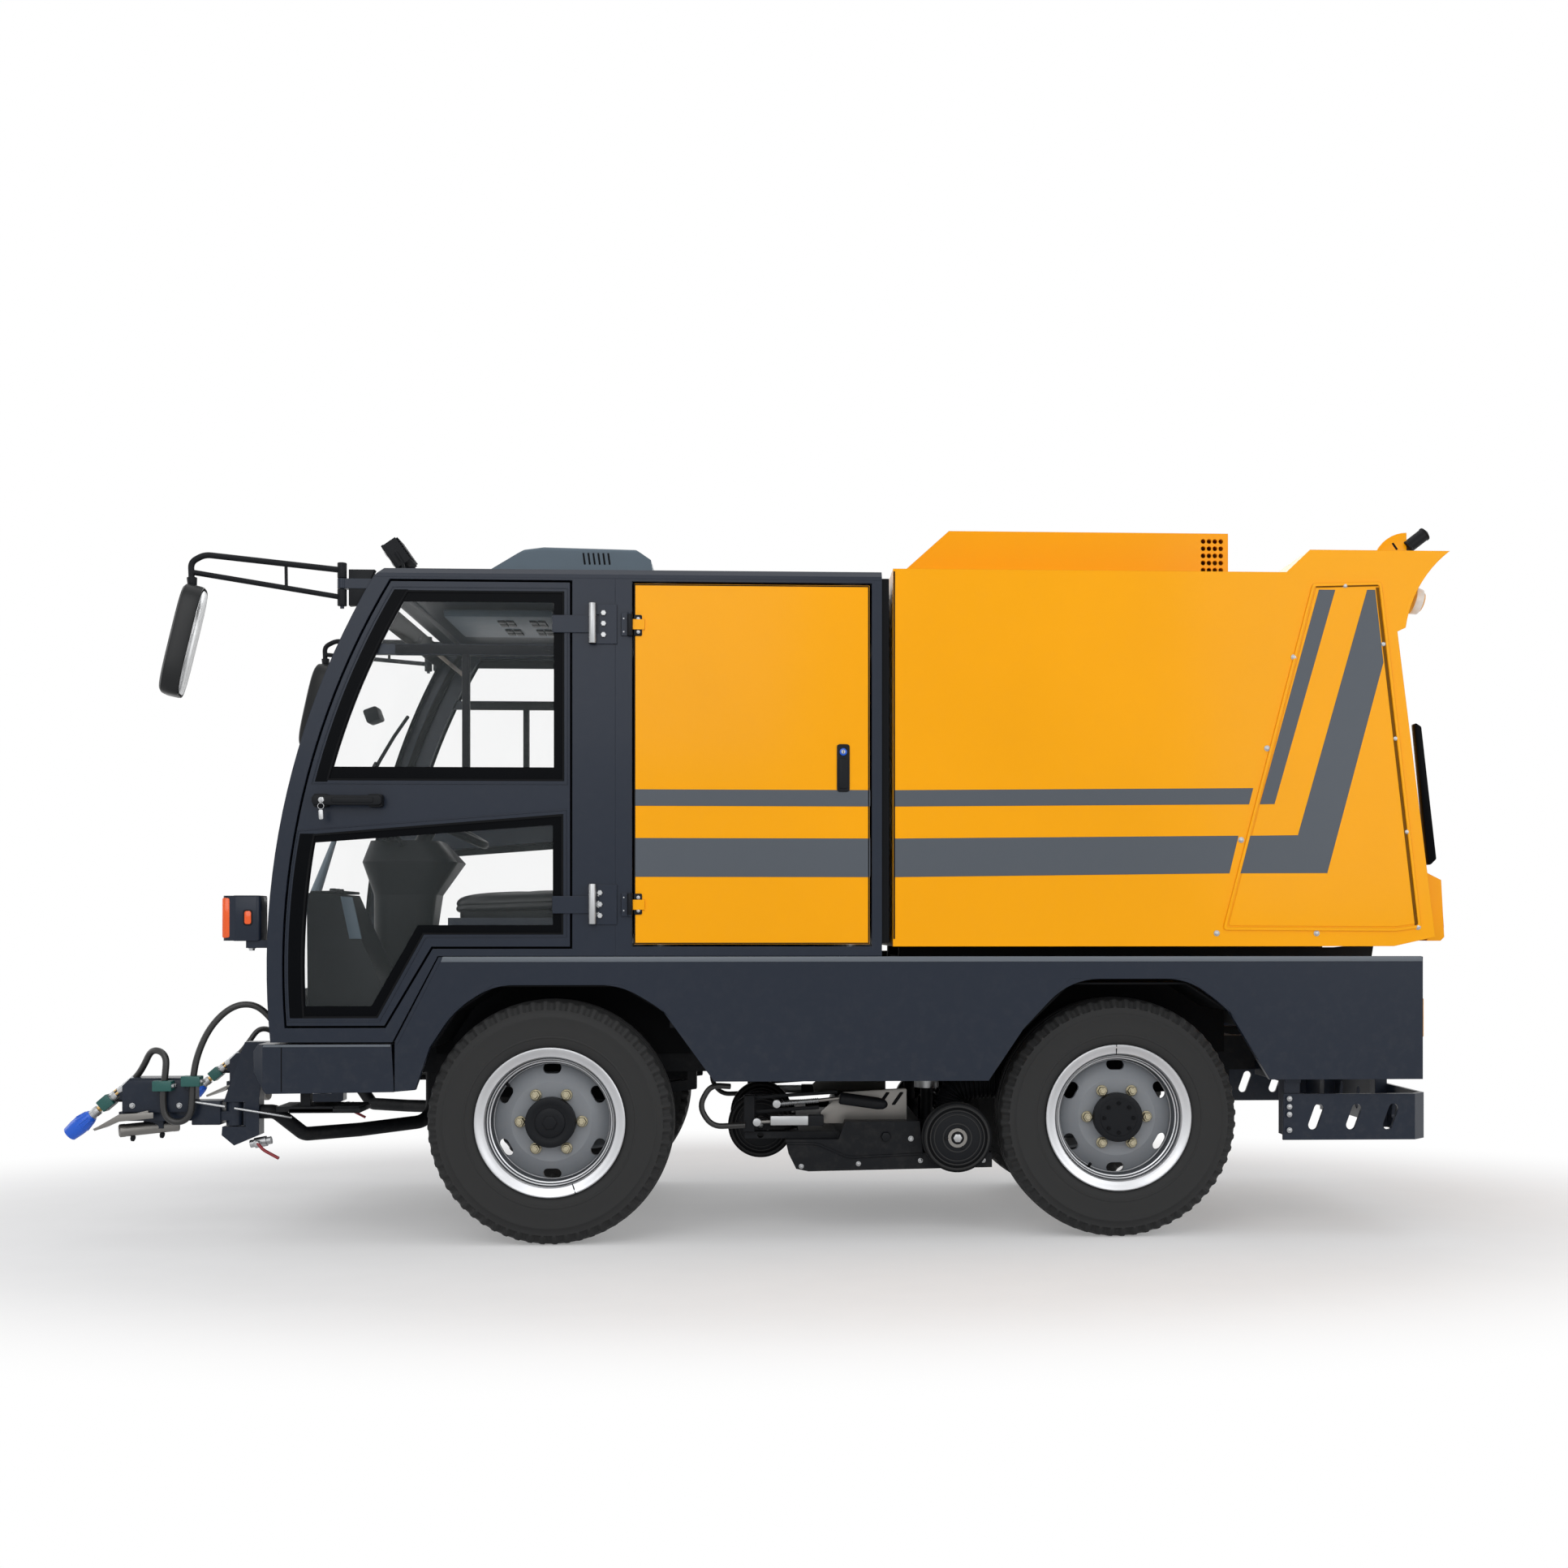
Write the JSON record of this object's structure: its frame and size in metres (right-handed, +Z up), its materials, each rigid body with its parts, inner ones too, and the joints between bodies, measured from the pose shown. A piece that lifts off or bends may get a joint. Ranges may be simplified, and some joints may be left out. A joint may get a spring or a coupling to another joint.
{
  "type": "road cleaning truck",
  "caption": "Small electric road cleaning truck with a glazed cab, side equipment box, tipping debris tank, front washing arms and a mid wash deck.",
  "frame": {"origin": "on the ground below the middle of the overall length and width", "axes": "+X forward, +Y to the vehicle's left, +Z up"},
  "size_m": [4.3046, 1.78, 2.2705],
  "materials": {
    "dark_paint": "satin",
    "yellow_paint": "gloss",
    "black_steel": "satin",
    "wheel_paint": "satin",
    "tyre_rubber": "matte",
    "hose_rubber": "satin",
    "seal_rubber": "matte",
    "glass": "polished",
    "black_plastic": "matte",
    "grey_plastic": "satin",
    "amber_plastic": "gloss",
    "seat_cover": "satin"
  },
  "bodies": {
    "truck_body": {"chassis_rails": "black_steel", "chassis_crossmembers": "black_steel", "chassis_supports": "black_steel", "leaf_springs": "black_steel", "front_axle": "black_steel", "rear_axle": "black_steel", "cab_shell": "dark_paint", "cab_roof": "dark_paint", "windscreen": "glass", "driver_seat": "seat_cover", "steering_column": "black_plastic", "steering_wheel": "black_plastic", "dash_console": "black_plastic", "roof_air_conditioner": "grey_plastic", "roof_work_lights": "black_plastic", "turn_signals": "amber_plastic", "skirt_left": "dark_paint", "skirt_right": "dark_paint", "wheel_arch_liners": "black_steel", "front_bumper": "dark_paint", "rear_bumper": "dark_paint", "battery_pack": "black_steel", "equipment_box": "dark_paint", "tank_subframe": "black_steel", "tank_seal": "seal_rubber", "front_columns": "dark_paint", "front_tube_frame": "black_steel", "deck_lift_guides": "black_steel"},
    "debris_tank": {"debris_tank": "yellow_paint", "tank_hood": "yellow_paint", "tank_top_lamps": "black_steel"},
    "tailgate": {"tailgate": "yellow_paint"},
    "wash_deck": {"wash_deck": "black_steel"},
    "deck_front_wheels": {"deck_front_wheels": "hose_rubber"},
    "deck_rear_wheels": {"deck_rear_wheels": "hose_rubber"},
    "steering_knuckle_left": {"steering_knuckle_left": "black_steel"},
    "wheel_front_left": {"tyre_front_left": "tyre_rubber", "rim_front_left": "wheel_paint"},
    "wheel_rear_left": {"tyre_rear_left": "tyre_rubber", "rim_rear_left": "wheel_paint"},
    "cab_door_left": {"cab_door_left": "dark_paint", "cab_door_glass_left": "glass"},
    "equipment_door_left": {"equipment_door_left": "yellow_paint"},
    "mirror_left": {"mirror_left": "black_plastic"},
    "spray_arm_left": {"spray_arm_left": "dark_paint", "spray_hose_left": "hose_rubber"},
    "steering_knuckle_right": {"steering_knuckle_right": "black_steel"},
    "wheel_front_right": {"tyre_front_right": "tyre_rubber", "rim_front_right": "wheel_paint"},
    "wheel_rear_right": {"tyre_rear_right": "tyre_rubber", "rim_rear_right": "wheel_paint"},
    "cab_door_right": {"cab_door_right": "dark_paint", "cab_door_glass_right": "glass"},
    "equipment_door_right": {"equipment_door_right": "yellow_paint"},
    "mirror_right": {"mirror_right": "black_plastic"},
    "spray_arm_right": {"spray_arm_right": "dark_paint", "spray_hose_right": "hose_rubber"}
  },
  "joints": [
    {"name": "steer_left", "type": "hinge", "parent": "truck_body", "child": "steering_knuckle_left", "pos_m": [0.652, 0.5375, 0.375], "axis": [0, 0, 1], "range_deg": [-30, 30]},
    {"name": "roll_front_left", "type": "hinge", "parent": "steering_knuckle_left", "child": "wheel_front_left", "pos_m": [0.652, 0.5975, 0.375], "axis": [0, 1, 0], "continuous": true},
    {"name": "roll_rear_left", "type": "hinge", "parent": "truck_body", "child": "wheel_rear_left", "pos_m": [-1.108, 0.5275, 0.375], "axis": [0, 1, 0], "continuous": true},
    {"name": "open_cab_door_left", "type": "hinge", "parent": "truck_body", "child": "cab_door_left", "pos_m": [0.52, 0.714, 1.465], "axis": [0, 0, 1], "range_deg": [0, 80]},
    {"name": "open_equipment_door_left", "type": "hinge", "parent": "truck_body", "child": "equipment_door_left", "pos_m": [0.407, 0.709, 1.465], "axis": [0, 0, -1], "range_deg": [0, 90]},
    {"name": "fold_mirror_left", "type": "hinge", "parent": "truck_body", "child": "mirror_left", "pos_m": [1.276, 0.686, 2], "axis": [0, 0, 1], "range_deg": [-15, 55]},
    {"name": "swing_spray_arm_left", "type": "hinge", "parent": "truck_body", "child": "spray_arm_left", "pos_m": [1.637, 0.545, 0.395], "axis": [0, 0, 1], "range_deg": [-20, 20]},
    {"name": "steer_right", "type": "hinge", "parent": "truck_body", "child": "steering_knuckle_right", "pos_m": [0.652, -0.5375, 0.375], "axis": [0, 0, 1], "range_deg": [-30, 30]},
    {"name": "roll_front_right", "type": "hinge", "parent": "steering_knuckle_right", "child": "wheel_front_right", "pos_m": [0.652, -0.5975, 0.375], "axis": [0, 1, 0], "continuous": true},
    {"name": "roll_rear_right", "type": "hinge", "parent": "truck_body", "child": "wheel_rear_right", "pos_m": [-1.108, -0.5275, 0.375], "axis": [0, 1, 0], "continuous": true},
    {"name": "open_cab_door_right", "type": "hinge", "parent": "truck_body", "child": "cab_door_right", "pos_m": [0.52, -0.714, 1.465], "axis": [0, 0, -1], "range_deg": [0, 80]},
    {"name": "open_equipment_door_right", "type": "hinge", "parent": "truck_body", "child": "equipment_door_right", "pos_m": [0.407, -0.709, 1.465], "axis": [0, 0, 1], "range_deg": [0, 90]},
    {"name": "fold_mirror_right", "type": "hinge", "parent": "truck_body", "child": "mirror_right", "pos_m": [1.276, -0.686, 2], "axis": [0, 0, -1], "range_deg": [-15, 55]},
    {"name": "swing_spray_arm_right", "type": "hinge", "parent": "truck_body", "child": "spray_arm_right", "pos_m": [1.637, -0.545, 0.395], "axis": [0, 0, -1], "range_deg": [-20, 20]},
    {"name": "tip_tank", "type": "hinge", "parent": "truck_body", "child": "debris_tank", "pos_m": [-2.008, 0, 0.925], "axis": [0, -1, 0], "range_deg": [0, 45]},
    {"name": "open_tailgate", "type": "hinge", "parent": "debris_tank", "child": "tailgate", "pos_m": [-1.97839, 0, 1.868], "axis": [0, 1, 0], "range_deg": [0, 80]},
    {"name": "lower_wash_deck", "type": "slide", "parent": "truck_body", "child": "wash_deck", "axis": [0, 0, -1], "range_m": [0, 0.19]},
    {"name": "roll_deck_front_wheels", "type": "hinge", "parent": "wash_deck", "child": "deck_front_wheels", "pos_m": [0.012, 0, 0.316], "axis": [0, 1, 0], "continuous": true},
    {"name": "roll_deck_rear_wheels", "type": "hinge", "parent": "wash_deck", "child": "deck_rear_wheels", "pos_m": [-0.6, 0, 0.316], "axis": [0, 1, 0], "continuous": true}
  ],
  "couplings": [
    {"joint": "steer_right", "follows": "steer_left", "ratio": 1}
  ]
}
